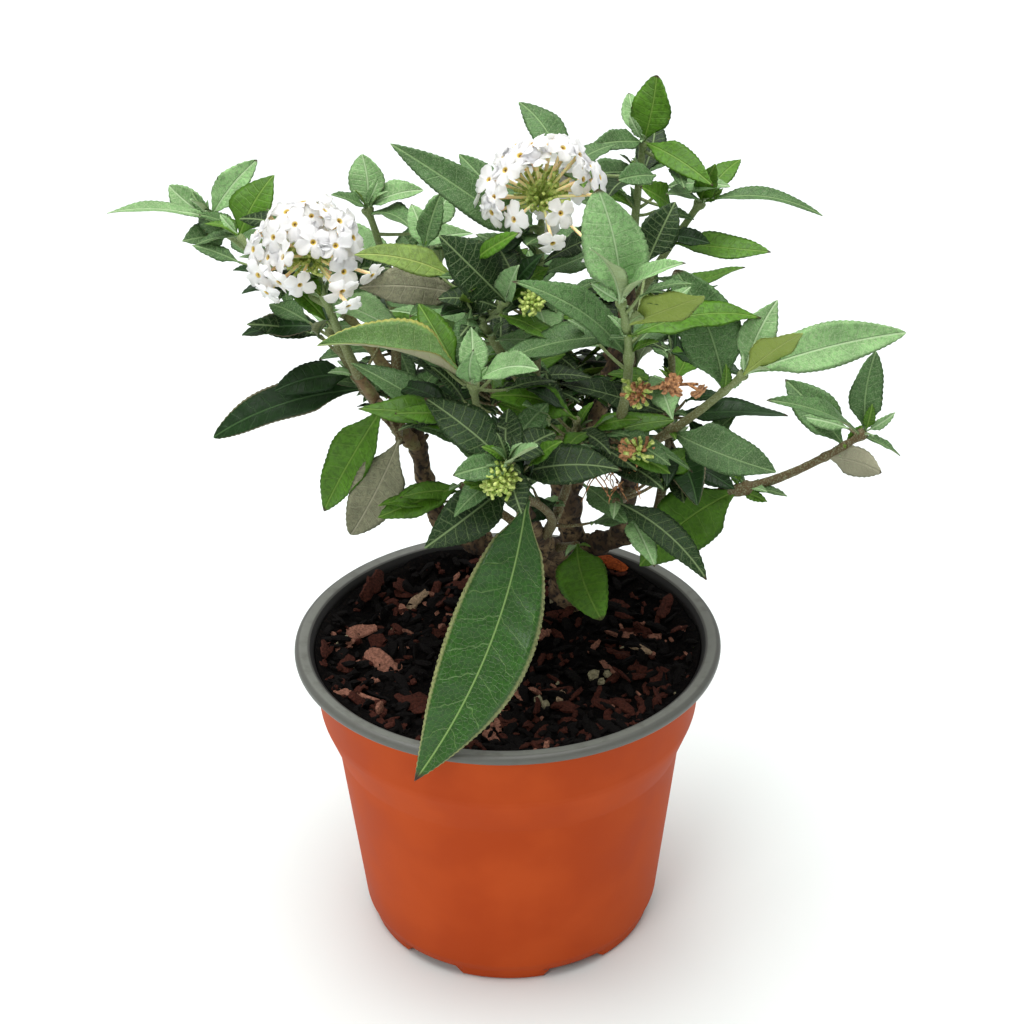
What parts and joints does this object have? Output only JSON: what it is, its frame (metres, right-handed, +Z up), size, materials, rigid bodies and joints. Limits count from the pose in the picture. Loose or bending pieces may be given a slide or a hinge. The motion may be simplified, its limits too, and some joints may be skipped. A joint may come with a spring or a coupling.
{
  "type": "potted butterfly bush",
  "caption": "Small flowering butterfly bush with woody stems, opposite leaves and white flower heads, growing in a round plastic nursery pot.",
  "frame": {"origin": "centre of the pot's flat underside, on the ground", "axes": "+Z up along the pot's axis, -Y towards the viewer of the front, +X to the viewer's right"},
  "size_m": [0.229, 0.1577, 0.2614],
  "materials": {
    "pot_plastic": "satin",
    "potting_mix": "rough",
    "bark": "rough",
    "foliage": "matte"
  },
  "bodies": {
    "root": {"back_foliage": "foliage", "back_left_foliage": "foliage", "back_low_foliage": "foliage", "back_right_foliage": "foliage", "centre_bough": "bark", "centre_foliage": "foliage", "front_bough": "bark", "hanging_leaf": "foliage", "inner_front_foliage": "foliage", "inner_left_foliage": "foliage", "inner_right_foliage": "foliage", "left_bough": "bark", "left_flower_foliage": "foliage", "left_foot_bough": "bark", "left_front_bough": "bark", "left_front_foliage": "foliage", "left_low_foliage": "foliage", "left_rear_bough": "bark", "left_tip_foliage": "foliage", "left_twisted_leaf": "foliage", "low_centre_leaf": "foliage", "low_left_leaf": "foliage", "low_right_leaf": "foliage", "pot": "pot_plastic", "potting_mix": "potting_mix", "rear_right_foliage": "foliage", "right_arm_foliage": "foliage", "right_bough": "bark", "right_foliage": "foliage", "right_rear_bough": "bark", "right_tip_foliage": "foliage", "rosette_foliage": "foliage", "tall_bough": "bark", "tall_foliage": "foliage", "top_flower_foliage": "foliage", "trunk": "bark", "upper_left_foliage": "foliage"}
  },
  "joints": []
}
